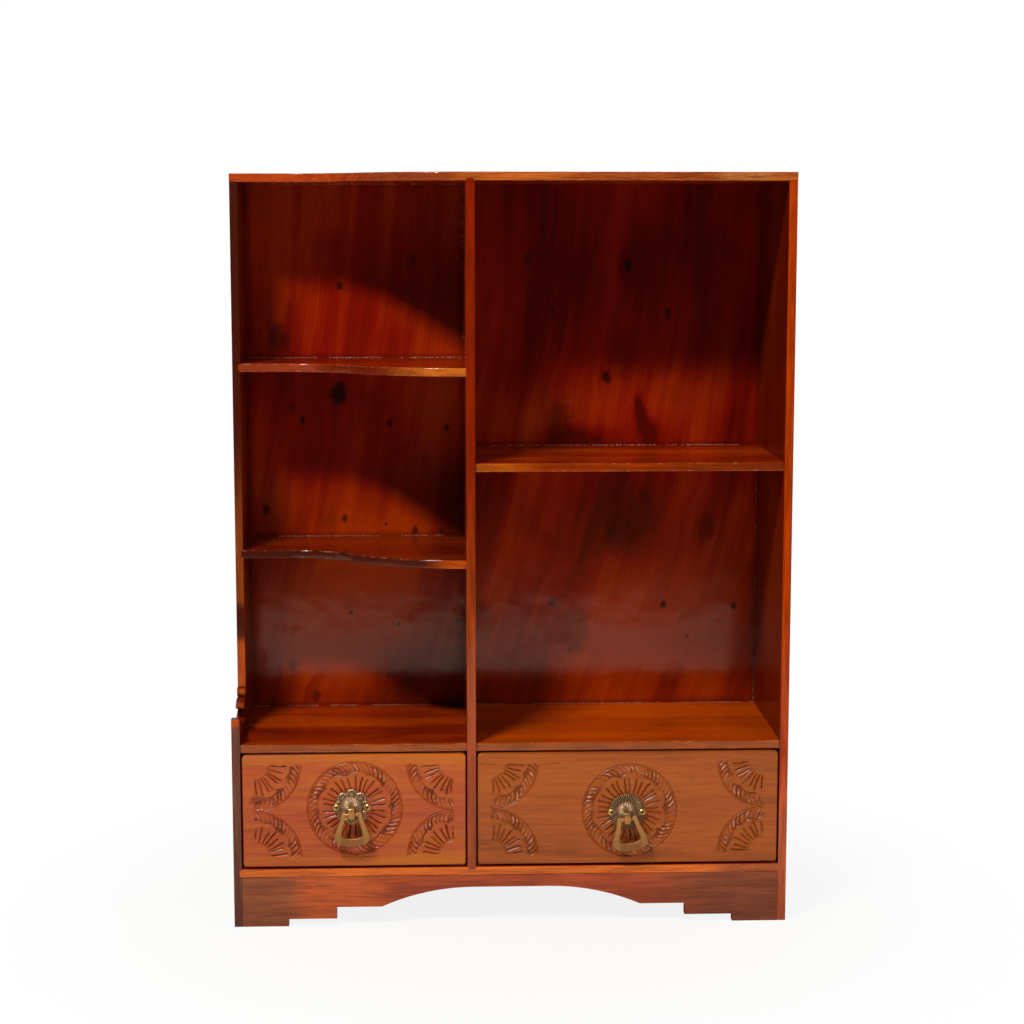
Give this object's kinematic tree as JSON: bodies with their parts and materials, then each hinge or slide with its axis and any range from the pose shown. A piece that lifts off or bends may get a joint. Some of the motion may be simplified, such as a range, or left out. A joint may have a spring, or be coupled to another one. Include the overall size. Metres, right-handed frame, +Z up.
{
  "type": "wall shelf",
  "caption": "Wooden wall shelf with a divider, open bays, S-curved left shelves and carved inset drawers with brass drop pulls, on an arched plinth with stepped feet.",
  "frame": {"origin": "on the floor plane, at the middle of the bounding box in X and Y, pulls included", "axes": "+Z up, +Y to the wall, +X to the right as seen from the front"},
  "size_m": [0.46, 0.165, 0.62],
  "materials": {
    "case_wood": "glossy red-brown varnish on solid wood, lighter where the front edges are rubbed",
    "back_wood": "glossy dark red-brown varnish on upright knotty boards",
    "drawer_front_wood": "satin orange-brown varnish, hand carved",
    "drawer_box_wood": "plain sanded wood",
    "brass": "antique brass, darkened in the hollows",
    "steel": "dull plated steel"
  },
  "bodies": {
    "carcass": {"top_panel": "case_wood", "left_side": "case_wood", "right_side": "case_wood", "divider": "case_wood", "back_panel": "back_wood", "floor_board": "case_wood", "front_apron": "case_wood", "upper_left_shelf": "case_wood", "lower_left_shelf": "case_wood", "right_shelf": "case_wood", "left_deck": "case_wood", "right_deck": "case_wood", "back_panel_nails": "steel", "top_nails": "steel", "hanger_plates": "steel", "hanger_screws": "steel"},
    "left_drawer": {"left_drawer_front": "drawer_front_wood", "left_drawer_left_side": "drawer_box_wood", "left_drawer_right_side": "drawer_box_wood", "left_drawer_back": "drawer_box_wood", "left_drawer_bottom": "drawer_box_wood", "left_drawer_pins": "steel", "left_pull_rosette": "brass", "left_pull_hook": "brass", "left_pull_nut": "brass", "left_pull_screws": "brass"},
    "left_bail": {"left_pull_bail": "brass"},
    "right_drawer": {"right_drawer_front": "drawer_front_wood", "right_drawer_left_side": "drawer_box_wood", "right_drawer_right_side": "drawer_box_wood", "right_drawer_back": "drawer_box_wood", "right_drawer_bottom": "drawer_box_wood", "right_drawer_pins": "steel", "right_pull_rosette": "brass", "right_pull_hook": "brass", "right_pull_nut": "brass", "right_pull_screws": "brass"},
    "right_bail": {"right_pull_bail": "brass"}
  },
  "joints": [
    {"name": "left_drawer_slide", "type": "slide", "parent": "carcass", "child": "left_drawer", "axis": [0, -1, 0], "range_m": [0, 0.11]},
    {"name": "left_bail_swing", "type": "hinge", "parent": "left_drawer", "child": "left_bail", "pos_m": [-0.13175, -0.0789, 0.09715], "axis": [-0.9998, 0, -0.0175], "range_deg": [-10, 165]},
    {"name": "right_drawer_slide", "type": "slide", "parent": "carcass", "child": "right_drawer", "axis": [0, -1, 0], "range_m": [0, 0.11]},
    {"name": "right_bail_swing", "type": "hinge", "parent": "right_drawer", "child": "right_bail", "pos_m": [0.0958, -0.0789, 0.09065], "axis": [-0.9903, 0, -0.1392], "range_deg": [-10, 165]}
  ]
}
